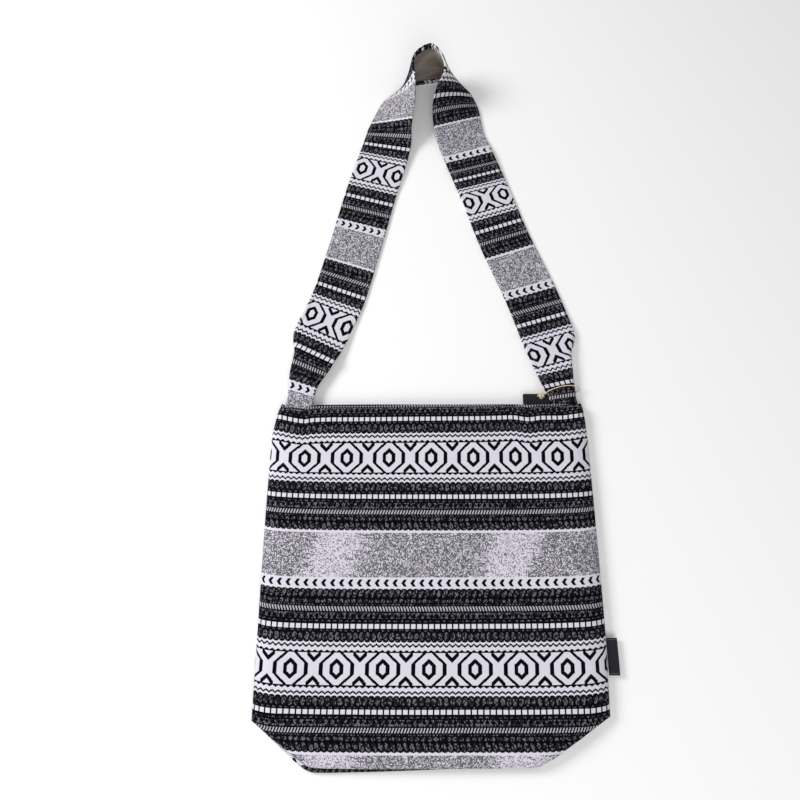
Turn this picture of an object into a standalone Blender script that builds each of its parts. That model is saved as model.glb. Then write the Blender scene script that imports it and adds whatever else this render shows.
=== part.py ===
# Woven carryall bag lying on its back, with its wide strap laid out above the mouth.
# Lengths below are in millimetres and are turned into metres when a mesh is made.
# +X runs across the bag, +Y from the base to the mouth, +Z up from the floor.
import math

import bmesh
import bpy
from mathutils import Vector

MM = 0.001
COLLECTION = "carryall_bag"

# Cloth
CLOTH = 1.0
LINING = 0.4
GAP = 0.3
# Rows of the turned-in mouth hem below the mouth edge, and the steps of its fold in degrees
HEM_ROWS = (30.0, 16.0, 6.0, 1.15)
HEM_TURN = (135.0, 90.0, 45.0)

# Side outline of the bag, as (y, x) from the mouth down to the tops of the slanted corners
LEFT_SIDE = [(190, -167), (176, -171.5), (150, -176.5), (60, -178.5), (-60, -179.5), (-145, -180)]
RIGHT_SIDE = [(190, 174), (176, 176.5), (150, 178), (60, 179), (-60, 179.5), (-145, 176.5)]
# Bottom fold of the front cloth, as (x, y), with the two slanted corners of the boxed base
FRONT_FOLD = [(-181, -145), (-152, -167), (-131, -183), (-118, -188.5), (-40, -189.5),
              (96, -188.5), (110, -185.5), (146, -162), (178, -141)]
# How far the back cloth's bottom fold shows below the front's, as (x, shift)
BACK_FOLD_SHIFT = [(-181, 0), (-152, 2.5), (-125, 5), (-60, 3), (31, 0), (178, 0)]
# Top edge of the base flaps, where the two halves of the base meet inside
BASE_SEAM = [(-180, -145.6), (177, -142.2)]
MOUTH_Y = 190.0
# The mouth edge dips beside the left end of the strap, as (x, drop)
MOUTH_DIP = [(-168, 1.2), (-150, 2.6), (-141, 3.6), (-129, 0.6), (-110, 0.1), (-30, 0), (60, 0.8),
             (100, 0.0), (125, 1.6), (150, 0.8), (175, 0.2)]

# Heights of the layers
SEAM_Z = 5.6
SEAM_HALF_GAP = 0.25
SEAM_DIVE = 18.0
MOUTH_TOP = 14.0
BODY_TOP = 17.0
BODY_TOP_FROM_Y = 120.0
SIDE_DROP = 28.0
MOUTH_SIDE_DROP = 9.0
BACK_SIDE_RISE = 6.0
FRONT_TURN = (1.3, 2.5)
BACK_TURN = (1.3, 2.7)
LINING_FRONT_TURN = (0.8, 1.4)
LINING_BACK_TURN = (0.7, 0.75)
TURN_GROWS_OVER = 40.0
LINING_INSET = CLOTH + GAP + CLOTH + GAP
LINING_TOP_Y = 163.0
FLOOR_GAP = 0.05

# Strap
STRAP_WIDTH = 64.0
HEM_WIDTH = 7.0
LINING_EDGE = 4.0
# The turned edge's middle lies this far under the outer cloth's middle, with the lining between them
HEM_DEPTH = CLOTH + GAP + LINING + GAP + GAP
# Middle of the outer cloth when the strap lies flat with its turned edges on the floor
STRAP_FLAT_Z = 2.86
STRAP_EDGE_Z = 0.58
STRAP_STEP = 20.0
LAST_COLUMNS = (50.0, 51.5, 53.0, 54.5, 56.0)
# Stations along the legs: inner edge x, y, z, heading in degrees, curl start and curl radius
FLAT = (90.0, 9.0)
LEFT_LEG = [
    (-135.5, 168.5, 10.5, 78, 26.5, 3.5),
    (-131.2, 190, 10.5, 75, 26.5, 3.5),
    (-127, 208, 10.0, 70, 31.5, 3.6),
    (-112, 233, 9.2, 64, 44.5, 4.0),
    (-99, 258, 6.2, 64, 58.0, 12.0),
    (-86, 290, STRAP_FLAT_Z + 0.8, 67) + FLAT,
    (-74, 324, STRAP_FLAT_Z, 69.5) + FLAT,
    (-56, 393.5, STRAP_FLAT_Z, 73) + FLAT,
    (-38.5, 466, STRAP_FLAT_Z, 74.5) + FLAT,
    (-28, 502, STRAP_FLAT_Z + 1.5, 74.5) + FLAT,
]
RIGHT_LEG = [
    (26, 520, STRAP_FLAT_Z + 2.5, -75) + FLAT,
    (45, 466, STRAP_FLAT_Z, -73) + FLAT,
    (68, 393.5, STRAP_FLAT_Z, -71) + FLAT,
    (94, 324, STRAP_FLAT_Z, -73) + FLAT,
    (105.8, 287, STRAP_FLAT_Z + 0.8, -73) + FLAT,
    (113, 260, 6.2, -73, 58.0, 12.0),
    (119, 240, 9.9, -74, 46.5, 4.5),
    (131.4, 209, 10.0, -77, 33.0, 3.6),
    (138, 191, 10.5, -82, 27.0, 3.5),
    (141.5, 168.5, 10.5, -86, 26.5, 3.5),
]
# The arch stands on the strap's outer edge: rim x, y, z and the floor edge x, y below it
ARCH = [
    (-18.5, 543, 9, -79, 557),
    (-18.0, 563, 24, -73, 578),
    (-14.0, 589, 41, -56, 617),
    (-14.7, 614, 55, -36, 636),
    (-17.0, 636, 60.5, -25, 645),
    (-8.5, 653, 61, -10, 648.5),
    (7.4, 662, 61, 9, 651.5),
    (18.0, 653, 60.5, 26, 654),
    (24.5, 636, 60, 43, 649),
    (25.0, 622, 55, 60, 636),
    (17.0, 612, 43, 68, 620),
    (11.0, 598, 29, 73, 603),
    (10.5, 580, 17, 75, 585),
    (16.0, 551, 8, 79, 563),
]

# Folded label in the right side seam
LABEL_Y = (-103.5, -67.0)
LABEL_OUT = 11.0
LABEL_CLOTH = 0.4
LABEL_SLIT = 0.25

# Swing tag, its string and the knot
TAG_SIZE = (42.0, 85.0, 0.5)
TAG_TOP = (129.0, 200.4, 7.0)
TAG_HOLE = (129.0, 196.6, 2.4)
TAG_CORNER = 2.0
KNOT_CENTRE = (128.3, 198.0, 9.75)
KNOT_RADII = (4.6, 3.2, 2.1)
STRING_DIAMETER = 1.2
STRING_STEP = 2.0
STRING_ROUTE = [
    (133.2, 199.0, 9.9), (135.0, 200.8, 11.4), (138.5, 202.8, 12.6), (145, 205.3, 12.9), (152, 207.4, 12.8),
    (161, 208.6, 12.6), (167, 208.2, 12.2), (171.6, 207.2, 10.6), (173.6, 206.2, 7.6), (173.0, 205.2, 4.0),
    (170.2, 204.2, 1.4), (162, 203.0, 0.75), (150, 201.8, 0.7), (139, 200.6, 0.75), (132.6, 199.0, 2.2),
    (129.6, 197.2, 4.6), (129.0, 196.7, 6.4), (128.9, 196.7, 7.5),
]

# Colours of the materials
INK = (0.02, 0.018, 0.03)
CLOTH_COLOUR = (0.2, 0.19, 0.23)
TAUPE = (0.21, 0.18, 0.155)
CREAM = (0.72, 0.6, 0.4)


def clear_scene():
    for item in list(bpy.data.objects):
        bpy.data.objects.remove(item, do_unlink=True)


def make_material(name, colour, roughness):
    material = bpy.data.materials.new(name)
    material.use_nodes = True
    shader = material.node_tree.nodes["Principled BSDF"]
    shader.inputs["Base Color"].default_value = (*colour, 1.0)
    shader.inputs["Roughness"].default_value = roughness
    shader.inputs["Metallic"].default_value = 0.0
    return material


def link(item, material):
    bpy.data.collections[COLLECTION].objects.link(item)
    item.data.materials.append(material)
    return item


def along(table, at):
    """Straight-line value of a table of (place, value) pairs, in either order of place."""
    rows = sorted(table)
    if at <= rows[0][0]:
        return rows[0][1]
    for (low, low_value), (high, high_value) in zip(rows, rows[1:]):
        if at <= high:
            return low_value + (high_value - low_value) * (at - low) / (high - low)
    return rows[-1][1]


def smooth_table(table):
    """The same table with two more points beside each inner one, which rounds its corners."""
    rows = sorted(table)
    rounded = [rows[0]]
    for before, here, after in zip(rows, rows[1:], rows[2:]):
        rounded.append(tuple(0.8 * h + 0.2 * b for h, b in zip(here, before)))
        middle = tuple(0.8 * h + 0.1 * b + 0.1 * a for h, b, a in zip(here, before, after))
        rounded.append((here[0], middle[1]))
        rounded.append(tuple(0.8 * h + 0.2 * a for h, a in zip(here, after)))
    rounded.append(rows[-1])
    return rounded


def ease(value):
    value = min(max(value, 0.0), 1.0)
    return value * value * (3.0 - 2.0 * value)


def dome(depth, width):
    """Quarter-ellipse rise from 0 at the outline to 1 at the given width inside it."""
    reach = min(max(depth / width, 0.0), 1.0)
    return math.sqrt(1.0 - (1.0 - reach) ** 2)


def sheet_object(name, rows, thickness, material, offset):
    """Open sheet through rows of points in millimetres, given its thickness by Solidify."""
    mesh = bpy.data.meshes.new(name)
    work = bmesh.new()
    grid = [[work.verts.new(Vector(point) * MM) for point in row] for row in rows]
    for low, high in zip(grid, grid[1:]):
        for left in range(len(low) - 1):
            work.faces.new((low[left], low[left + 1], high[left + 1]))
            work.faces.new((low[left], high[left + 1], high[left]))
    bmesh.ops.remove_doubles(work, verts=work.verts, dist=0.00002)
    work.to_mesh(mesh)
    work.free()
    item = link(bpy.data.objects.new(name, mesh), material)
    solid = item.modifiers.new("thickness", "SOLIDIFY")
    solid.thickness = thickness * MM
    solid.offset = offset
    solid.use_even_offset = True
    mesh.shade_smooth()
    mesh.set_sharp_from_angle(angle=math.radians(50))
    return item


class Panel:
    """One face of the bag: a sheet from the mouth to the bottom fold and back up as the base flap."""

    def __init__(self, front, inset):
        self.front = front
        self.inset = inset
        self.flap_lift = CLOTH + GAP if inset else 0.0
        self.left = smooth_table(LEFT_SIDE)
        self.right = smooth_table(RIGHT_SIDE)
        self.fold = smooth_table(FRONT_FOLD)
        if inset:
            self.turn = LINING_FRONT_TURN if front else LINING_BACK_TURN
        else:
            self.turn = FRONT_TURN if front else BACK_TURN

    def x_at(self, share, y):
        left = along(self.left, y) + self.inset
        right = along(self.right, y) - self.inset
        return left + (right - left) * share

    def fold_y(self, x):
        shift = 0.0 if self.front else along(BACK_FOLD_SHIFT, x)
        return along(self.fold, x) - shift + self.inset * 2.0

    def mouth_y(self, x):
        return MOUTH_Y - along(MOUTH_DIP, x)

    def top_z(self, y):
        rise = ease((MOUTH_Y - y) / (MOUTH_Y - BODY_TOP_FROM_Y))
        return MOUTH_TOP + (BODY_TOP - MOUTH_TOP) * rise

    def side_drop(self, y):
        return MOUTH_SIDE_DROP + (SIDE_DROP - MOUTH_SIDE_DROP) * ease((180.0 - y) / 50.0)

    def turn_radius(self, share, y):
        """Outer radius of the bottom fold, small at the slanted corners' tops."""
        side_gap = min(share, 1.0 - share) * (self.x_at(1.0, y) - self.x_at(0.0, y))
        small, full = self.turn
        return small + (full - small) * ease(side_gap / TURN_GROWS_OVER)

    def upright_z(self, share, y):
        """Height where the cloth stands upright at the outline, on the seam or on the bottom fold."""
        corner = ease((along(BASE_SEAM, self.x_at(share, y)) + SEAM_DIVE - y) / SEAM_DIVE)
        lift = self.turn_radius(share, y) * corner
        if self.front:
            return SEAM_Z + SEAM_HALF_GAP + lift + self.flap_lift * corner
        return SEAM_Z - SEAM_HALF_GAP - lift - self.flap_lift * corner

    def face_point(self, share, y):
        x = self.x_at(share, y)
        side_gap = min(x - self.x_at(0.0, y), self.x_at(1.0, y) - x)
        fold_gap = max(y - self.fold_y(x), 0.0)
        upright = self.upright_z(share, y)
        if self.front:
            drop = self.side_drop(y)
            rise = dome(side_gap, drop) * dome(fold_gap, SIDE_DROP)
            top = self.top_z(y) - self.inset
            return (x, y, upright + (top - upright) * rise)
        rise = dome(side_gap, BACK_SIDE_RISE) * dome(fold_gap, self.turn_radius(share, y))
        return (x, y, upright + (self.inset - upright) * rise)

    def hem_rows(self, shares):
        """The turned-in mouth edge, from its inner end to the start of the face."""
        depth = CLOTH + GAP + CLOTH
        inner = Panel(self.front, depth)
        rows = [[] for _ in HEM_ROWS + HEM_TURN]
        for share in shares:
            mouth = self.mouth_y(self.x_at(share, MOUTH_Y))
            for row, below in zip(rows, HEM_ROWS):
                row.append(inner.face_point(share, mouth - below))
            outside = Vector(self.face_point(share, mouth - depth / 2))
            inside = Vector(inner.face_point(share, mouth - depth / 2))
            middle = (outside + inside) / 2
            for row, angle in zip(rows[len(HEM_ROWS):], HEM_TURN):
                turn = math.radians(angle)
                ahead = Vector((0.0, depth / 2 * math.sin(turn), 0.0))
                row.append(tuple(middle + (outside - inside) / 2 * math.cos(turn) + ahead))
        return rows

    def face_rows(self, shares):
        """Rows from the mouth down, bending near the bottom to follow the fold."""
        upper = [MOUTH_Y - depth for depth in (1.15, 8.0, 18.0, 30.0, 45.0, 70.0)] + [75.0, 20.0, -40.0, -95.0]
        if self.inset:
            upper = [LINING_TOP_Y, 145.0, 115.0, 60.0, -10.0, -95.0]
        rows = []
        for y in upper:
            row = []
            for share in shares:
                dip = 0.0
                if not self.inset:
                    dip = along(MOUTH_DIP, self.x_at(share, MOUTH_Y)) * ease((y - 140.0) / 50.0)
                row.append(self.face_point(share, y - dip))
            rows.append(row)
        for step in (0.30, 0.55, 0.75, 0.88, 0.96, 0.995):
            row = []
            for share in shares:
                row.append(self.face_point(share, self.toward_fold(share, step)))
            rows.append(row)
        return rows

    def toward_fold(self, share, step):
        """Row height a part of the way from the last level row down to the bottom fold."""
        start = -95.0
        y = start
        for _ in range(6):
            y = start + (self.fold_y(self.x_at(share, y)) - start) * step
        return y

    def flap_rows(self, shares):
        """The bottom turn and the base flap, which runs back up to the seam in the middle of the base."""
        turns = (0.0, 0.35, 0.7, 1.0)
        runs = (0.12, 0.45, 1.0)
        rows = [[] for _ in turns + runs]
        for share in shares:
            y = self.toward_fold(share, 1.0)
            x = self.x_at(share, y)
            radius = self.turn_radius(share, y)
            reach = max(along(BASE_SEAM, x) - y, 0.0)
            upright = self.upright_z(share, y)
            down = -1.0 if self.front else 1.0
            length = min(reach, radius)
            for row, turn in zip(rows, turns):
                angle = math.asin(min(length / radius, 1.0)) * turn
                shift = radius * (1.0 - math.cos(angle))
                row.append((x, y + shift, upright + down * radius * math.sin(angle)))
            start = radius * (1.0 - math.cos(math.asin(min(length / radius, 1.0))))
            for row, run in zip(rows[len(turns):], runs):
                ahead = start + max(reach - start, 0.0) * run
                row.append((x, y + ahead, upright + down * radius * math.sin(math.asin(min(length / radius, 1.0)))))
        return rows


def column_shares(gaps, middle):
    """Places of a panel's columns as shares of its width, close together near both sides."""
    width = 357.0
    near = [gap / width for gap in gaps]
    inner = [near[-1] + (1.0 - 2.0 * near[-1]) * step / middle for step in range(1, middle)]
    return near + inner + [1.0 - share for share in reversed(near)]


def make_panel(name, front, material):
    panel = Panel(front, 0.0)
    shares = column_shares((0.0, 0.12, 1.0, 3.6, 8.5, 16.0, 28.0, 54.0), 5)
    rows = panel.hem_rows(shares) + panel.face_rows(shares) + panel.flap_rows(shares)
    return sheet_object(name, rows, CLOTH, material, 1.0 if front else -1.0)


def make_lining(name, front, material):
    panel = Panel(front, LINING_INSET)
    shares = column_shares((0.0, 0.12, 1.5, 6.0, 14.0, 28.0, 52.0), 3)
    rows = panel.face_rows(shares) + panel.flap_rows(shares)
    return sheet_object(name, rows, LINING, material, 1.0 if front else -1.0)


def leg_station(row):
    x, y, z, heading, curl_start, radius = row
    turn = math.radians(heading)
    return (Vector((x, y, z)), Vector((-math.sin(turn), math.cos(turn), 0.0)), curl_start, radius)


def arch_station(row):
    x, y, z, floor_x, floor_y = row
    bank = min((z - STRAP_EDGE_Z) / STRAP_WIDTH, 1.0)
    edge = STRAP_EDGE_Z + (STRAP_FLAT_Z - STRAP_EDGE_Z) * math.sqrt(1.0 - bank * bank)
    across = Vector((floor_x - x, floor_y - y, edge - z)) / STRAP_WIDTH
    return (Vector((x, y, z)), across) + FLAT


def spline(values, before, here, share):
    """Smooth value between stations here and here + 1."""
    last = len(values) - 1
    a = values[max(before, 0)]
    b = values[here]
    c = values[min(here + 1, last)]
    d = values[min(here + 2, last)]
    square = share * share
    cube = square * share
    return 0.5 * (2.0 * b + (c - a) * share + (2.0 * a - 5.0 * b + 4.0 * c - d) * square
                  + (3.0 * b - a - 3.0 * c + d) * cube)


def strap_frames():
    """Frames along the strap: inner edge, direction across, face normal, curl start and radius."""
    stations = [leg_station(row) for row in LEFT_LEG]
    stations += [arch_station(row) for row in ARCH]
    stations += [leg_station(row) for row in RIGHT_LEG]
    edges, crosses, starts, radii = (list(column) for column in zip(*stations))
    places = []
    for here in range(len(stations) - 1):
        middle_step = edges[here + 1] - edges[here] + (crosses[here + 1] - crosses[here]) * STRAP_WIDTH / 2
        parts = max(round(middle_step.length / STRAP_STEP), 1)
        if edges[here].z > 2 * STRAP_FLAT_Z and starts[here] > STRAP_WIDTH:
            parts = 2
        if starts[here] != starts[here + 1]:
            parts = 3
        places += [(here, part / parts) for part in range(parts)]
    places.append((len(stations) - 2, 1.0))
    frames = []
    for here, share in places:
        edge = spline(edges, here - 1, here, share)
        cross = spline(crosses, here - 1, here, share)
        start = starts[here] + (starts[here + 1] - starts[here]) * share
        radius = radii[here] + (radii[here + 1] - radii[here]) * share
        frames.append([edge, cross, start, radius])
    middles = [edge + cross * STRAP_WIDTH / 2 for edge, cross, _, _ in frames]
    for index, frame in enumerate(frames):
        heading = middles[min(index + 1, len(middles) - 1)] - middles[max(index - 1, 0)]
        frame.append(heading.cross(frame[1]).normalized())
    for frame in frames:
        settle(frame)
    return frames


def settle(frame):
    """Lift a station whose section would reach below the floor."""
    lowest = min(section_point(frame, across, depth)[2] for across, depth in strap_section(frame, -0.5))
    frame[0].z += max(FLOOR_GAP - lowest, 0.0)


def section_point(frame, across, depth):
    """Point of the strap at a place across it and a depth below its outer cloth's middle."""
    edge, cross, start, radius, normal = frame
    angle = min(max((across - start) / radius, 0.0), math.pi)
    flat = min(across, start)
    straight = max(across - start - radius * math.pi, 0.0)
    along_cross = flat + radius * math.sin(angle) - straight
    below = radius * (1.0 - math.cos(angle))
    along_cross -= depth * math.sin(angle)
    below += depth * math.cos(angle)
    return tuple(edge + cross * along_cross - normal * below)


def middle_columns(frame):
    """Places across the strap between its two hems, with five of them round the curl."""
    start, radius = frame[2], frame[3]
    curl = []
    for step, limit in enumerate(LAST_COLUMNS):
        curl.append(min(start + radius * math.pi * step / (len(LAST_COLUMNS) - 1), limit))
    after = (curl[-1] + STRAP_WIDTH - HEM_WIDTH) / 2
    return [HEM_WIDTH + 1.0, curl[0] * 0.4, curl[0] * 0.7] + curl + [after]


def strap_section(frame, side):
    """One side of the outer cloth's section, both edges turned under, as (across, depth) pairs.

    The side is -0.5 on the outside of the cloth and 0.5 on its inside.
    """
    fold = CLOTH / 2 + HEM_DEPTH / 2
    surface = side * CLOTH
    hem = [(HEM_WIDTH, HEM_DEPTH - surface), (LINING_EDGE, HEM_DEPTH - surface)]
    for angle in (0.0, 60.0, 120.0, 180.0):
        turn = math.radians(angle)
        reach = HEM_DEPTH / 2 - surface
        hem.append((fold - reach * math.sin(turn), HEM_DEPTH / 2 + reach * math.cos(turn)))
    hem += [(LINING_EDGE, surface), (HEM_WIDTH, surface)]
    middle = [(across, surface) for across in middle_columns(frame)]
    return hem + middle + [(STRAP_WIDTH - across, depth) for across, depth in reversed(hem)]


def layered_object(name, outside, inside, material, turned):
    """Closed sheet between two grids of points, which keeps the strap's layers nested in its folds.

    The given number of columns at each end lie turned under, so their triangles lean the other way.
    """
    mesh = bpy.data.meshes.new(name)
    work = bmesh.new()
    top = [[work.verts.new(Vector(point) * MM) for point in row] for row in outside]
    under = [[work.verts.new(Vector(point) * MM) for point in row] for row in inside]
    strips = [(top[0], under[0]), (top[-1], under[-1])]
    strips += [([row[end] for row in top], [row[end] for row in under]) for end in (0, -1)]
    strips += list(zip(top, top[1:])) + list(zip(under, under[1:]))
    for low, high in strips:
        for left in range(len(low) - 1):
            corners = [low[left], low[left + 1], high[left + 1], high[left]]
            if left < turned or left >= len(low) - 1 - turned:
                corners = corners[1:] + corners[:1]
            work.faces.new(corners[:3])
            work.faces.new((corners[0], corners[2], corners[3]))
    bmesh.ops.recalc_face_normals(work, faces=work.faces)
    work.to_mesh(mesh)
    work.free()
    mesh.shade_smooth()
    mesh.set_sharp_from_angle(angle=math.radians(50))
    return link(bpy.data.objects.new(name, mesh), material)


def make_strap(frames, material):
    grids = []
    for side in (-0.5, 0.5):
        grids.append([[section_point(frame, *place) for place in strap_section(frame, side)] for frame in frames])
    return layered_object("strap_outer", *grids, material, 2)


def make_strap_lining(frames, material):
    grids = []
    for depth in (CLOTH / 2 + GAP, CLOTH / 2 + GAP + LINING):
        grid = []
        for frame in frames:
            places = [LINING_EDGE, HEM_WIDTH] + middle_columns(frame)
            places += [STRAP_WIDTH - HEM_WIDTH, STRAP_WIDTH - LINING_EDGE]
            grid.append([section_point(frame, across, depth) for across in places])
        grids.append(grid)
    return layered_object("strap_lining", *grids, material, 0)


def make_label(material):
    """Woven label folded double, its fold outwards, held in the right side seam."""
    start = max(along(RIGHT_SIDE, y) for y in LABEL_Y) + GAP
    half = (LABEL_CLOTH + LABEL_SLIT) / 2
    profile = [(start, SEAM_Z + half), (start + LABEL_OUT - half, SEAM_Z + half)]
    profile += [(start + LABEL_OUT, SEAM_Z), (start + LABEL_OUT - half, SEAM_Z - half), (start, SEAM_Z - half)]
    rows = [[(x, y, z) for x, z in profile] for y in LABEL_Y]
    return sheet_object("side_label", rows, LABEL_CLOTH, material, 0.0)


def make_tag(material):
    """Card tag with rounded corners and a punched hole near its top edge."""
    width, height, thickness = TAG_SIZE
    left, right = TAG_TOP[0] - width / 2, TAG_TOP[0] + width / 2
    low, high = TAG_TOP[1] - height, TAG_TOP[1]
    corners = [(right - TAG_CORNER, high - TAG_CORNER, 0), (left + TAG_CORNER, high - TAG_CORNER, 90),
               (left + TAG_CORNER, low + TAG_CORNER, 180), (right - TAG_CORNER, low + TAG_CORNER, 270)]
    outline = []
    for x, y, first in corners:
        for step in range(4):
            turn = math.radians(first + 30 * step)
            outline.append((x + TAG_CORNER * math.cos(turn), y + TAG_CORNER * math.sin(turn)))
    hole = []
    for step in range(16):
        turn = -2.0 * math.pi * step / 16
        hole.append((TAG_HOLE[0] + TAG_HOLE[2] * math.cos(turn), TAG_HOLE[1] + TAG_HOLE[2] * math.sin(turn)))
    curve = bpy.data.curves.new("swing_tag", "CURVE")
    curve.dimensions = "2D"
    curve.fill_mode = "BOTH"
    curve.extrude = thickness / 2 * MM
    for points in (outline, hole):
        path = curve.splines.new("POLY")
        path.points.add(len(points) - 1)
        path.use_cyclic_u = True
        for point, (x, y) in zip(path.points, points):
            point.co = (x * MM, y * MM, 0.0, 1.0)
    item = link(bpy.data.objects.new("swing_tag", curve), material)
    item.location.z = TAG_TOP[2] * MM
    return item


def make_knot(material):
    mesh = bpy.data.meshes.new("tag_knot")
    work = bmesh.new()
    bmesh.ops.create_uvsphere(work, u_segments=16, v_segments=10, radius=1.0)
    for vertex in work.verts:
        x, y, z = vertex.co
        lump = 1.0 + 0.08 * math.sin(5.0 * x + 2.0 * z) * math.cos(4.0 * y)
        vertex.co = Vector((x * KNOT_RADII[0], y * KNOT_RADII[1], z * KNOT_RADII[2])) * lump * MM
    work.to_mesh(mesh)
    work.free()
    mesh.shade_smooth()
    item = link(bpy.data.objects.new("tag_knot", mesh), material)
    item.location = Vector(KNOT_CENTRE) * MM
    return item


def make_string(material):
    route = [Vector(point) for point in STRING_ROUTE]
    points = []
    for here in range(len(route) - 1):
        parts = max(round((route[here + 1] - route[here]).length / STRING_STEP), 1)
        points += [spline(route, here - 1, here, part / parts) for part in range(parts)]
    points.append(route[-1])
    curve = bpy.data.curves.new("tag_string", "CURVE")
    curve.dimensions = "3D"
    curve.bevel_depth = STRING_DIAMETER / 2 * MM
    curve.bevel_resolution = 2
    curve.use_fill_caps = True
    path = curve.splines.new("POLY")
    path.points.add(len(points) - 1)
    for spot, point in zip(path.points, points):
        spot.co = (*(point * MM), 1.0)
    return link(bpy.data.objects.new("tag_string", curve), material)


def main():
    clear_scene()
    bpy.context.scene.collection.children.link(bpy.data.collections.new(COLLECTION))
    cloth = make_material("jacquard", CLOTH_COLOUR, 0.9)
    lining = make_material("lining_twill", TAUPE, 0.85)
    make_panel("front_panel", True, cloth)
    make_panel("back_panel", False, cloth)
    make_lining("lining_front", True, lining)
    make_lining("lining_back", False, lining)
    frames = strap_frames()
    make_strap(frames, make_material("strap_jacquard", CLOTH_COLOUR, 0.9))
    make_strap_lining(frames, make_material("strap_twill", TAUPE, 0.85))
    make_label(make_material("label_satin", INK, 0.6))
    make_tag(make_material("tag_card", INK, 0.55))
    twine = make_material("twine", CREAM, 0.9)
    make_string(twine)
    make_knot(twine)


main()
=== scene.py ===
import math

import bmesh
import bpy
import numpy as np
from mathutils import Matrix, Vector


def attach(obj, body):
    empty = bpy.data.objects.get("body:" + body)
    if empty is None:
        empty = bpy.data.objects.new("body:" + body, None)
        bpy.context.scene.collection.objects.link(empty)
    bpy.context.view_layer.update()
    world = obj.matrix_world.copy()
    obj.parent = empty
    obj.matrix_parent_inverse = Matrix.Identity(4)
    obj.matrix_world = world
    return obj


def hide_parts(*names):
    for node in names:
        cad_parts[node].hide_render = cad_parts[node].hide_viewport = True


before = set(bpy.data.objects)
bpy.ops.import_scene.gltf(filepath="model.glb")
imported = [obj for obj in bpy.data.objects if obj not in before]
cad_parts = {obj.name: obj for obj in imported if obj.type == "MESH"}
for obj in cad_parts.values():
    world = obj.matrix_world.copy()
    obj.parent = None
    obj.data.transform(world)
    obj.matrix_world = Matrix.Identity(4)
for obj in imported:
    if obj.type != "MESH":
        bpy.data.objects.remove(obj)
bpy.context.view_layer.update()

MM = 0.001

# Cloth and its layers
CLOTH = 1.0
LINING = 0.4
GAP = 0.3
HEM_ROWS = (30.0, 23.0, 16.0, 10.0, 6.0, 3.0, 1.15)
HEM_TURN = (157.0, 135.0, 112.0, 90.0, 68.0, 45.0, 22.0)
LEFT_SIDE = [(190, -167), (176, -171.5), (150, -176.5), (60, -178.5), (-60, -179.5), (-145, -180)]
RIGHT_SIDE = [(190, 174), (176, 176.5), (150, 178), (60, 179), (-60, 179.5), (-145, 176.5)]
FRONT_FOLD = [(-181, -145), (-152, -167), (-131, -183), (-118, -188.5), (-40, -189.5),
              (96, -188.5), (110, -185.5), (146, -162), (178, -141)]
BACK_FOLD_SHIFT = [(-181, 0), (-152, 2.5), (-125, 5), (-60, 3), (31, 0), (178, 0)]
BASE_SEAM = [(-180, -145.6), (177, -142.2)]
MOUTH_Y = 190.0
# How far each mouth edge lies below MOUTH_Y, as (x, drop)
FRONT_MOUTH_DROP = [(-168, 7.6), (-150, 8.6), (-141, 9.4), (-129, 7.2), (-110, 6.4), (-60, 6.2), (-25, 5.2),
                    (0, 4.6), (60, 4.4), (100, 4.0), (110, 5.2), (125, 5.0), (150, 4.2), (175, 4.0)]
BACK_MOUTH_DROP = [(-168, 1.2), (-150, 2.6), (-141, 3.6), (-129, 0.8), (-60, 0.2), (100, 0.3),
                   (125, 1.6), (175, 0.4)]
# How far the woven rows sag near the mouth, as (x, sag)
ROW_SAG = [(-168, 0.2), (-150, 3.2), (-140, 4.2), (-130, 2.2), (-110, 1.0), (-30, 0.0), (60, -0.8),
           (95, -1.8), (105, 0.2), (112, 1.2), (125, -0.6), (150, 0.0), (172, -1.8)]
ROW_SAG_FROM_Y = 90.0
ROW_SAG_OVER = 60.0
# The rows also drop towards both sides, by this much at this distance from the middle
SIDE_ROW_DROP = 2.7
SIDE_ROW_X = 172.0
SEAM_Z = 5.6
SEAM_HALF_GAP = 0.25
SEAM_DIVE = 18.0
MOUTH_TOP = 14.0
BODY_TOP = 17.0
BODY_TOP_FROM_Y = 120.0
SIDE_DROP = 28.0
MOUTH_SIDE_DROP = 9.0
BACK_SIDE_RISE = 6.0
FRONT_TURN = (1.3, 2.5)
BACK_TURN = (1.3, 2.7)
LINING_FRONT_TURN = (0.8, 1.4)
LINING_BACK_TURN = (0.7, 0.75)
TURN_GROWS_OVER = 40.0
LINING_INSET = CLOTH + GAP + CLOTH + GAP
LINING_TOP_Y = 163.0
MOUTH_HEM = CLOTH + GAP + CLOTH
# The rows of a face are level down to the second of these, and bend from it to the bottom fold
LEVEL_FROM_Y = 100.0
BEND_FROM_Y = -95.0
FLOOR_GAP = 0.05

# Strap
STRAP_WIDTH = 64.0
HEM_WIDTH = 7.0
LINING_EDGE = 4.0
HEM_DEPTH = CLOTH + GAP + LINING + GAP + GAP
STRAP_FLAT_Z = 2.86
STRAP_EDGE_Z = 0.58
STRAP_STEP = 5.0
LAST_COLUMN = 56.0
FLAT = (90.0, 9.0)
LEFT_LEG = [
    (-135.5, 168.5, 10.5, 78, 26.5, 3.5),
    (-131.2, 190, 10.5, 75, 26.5, 3.5),
    (-127, 208, 10.0, 70, 31.5, 3.6),
    (-112, 233, 9.2, 64, 44.5, 4.0),
    (-99, 258, 6.2, 64, 58.0, 12.0),
    (-86, 290, STRAP_FLAT_Z + 0.8, 67) + FLAT,
    (-74, 324, STRAP_FLAT_Z, 69.5) + FLAT,
    (-56, 393.5, STRAP_FLAT_Z, 73) + FLAT,
    (-38.5, 466, STRAP_FLAT_Z, 74.5) + FLAT,
    (-28, 502, STRAP_FLAT_Z + 1.5, 74.5) + FLAT,
]
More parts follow.
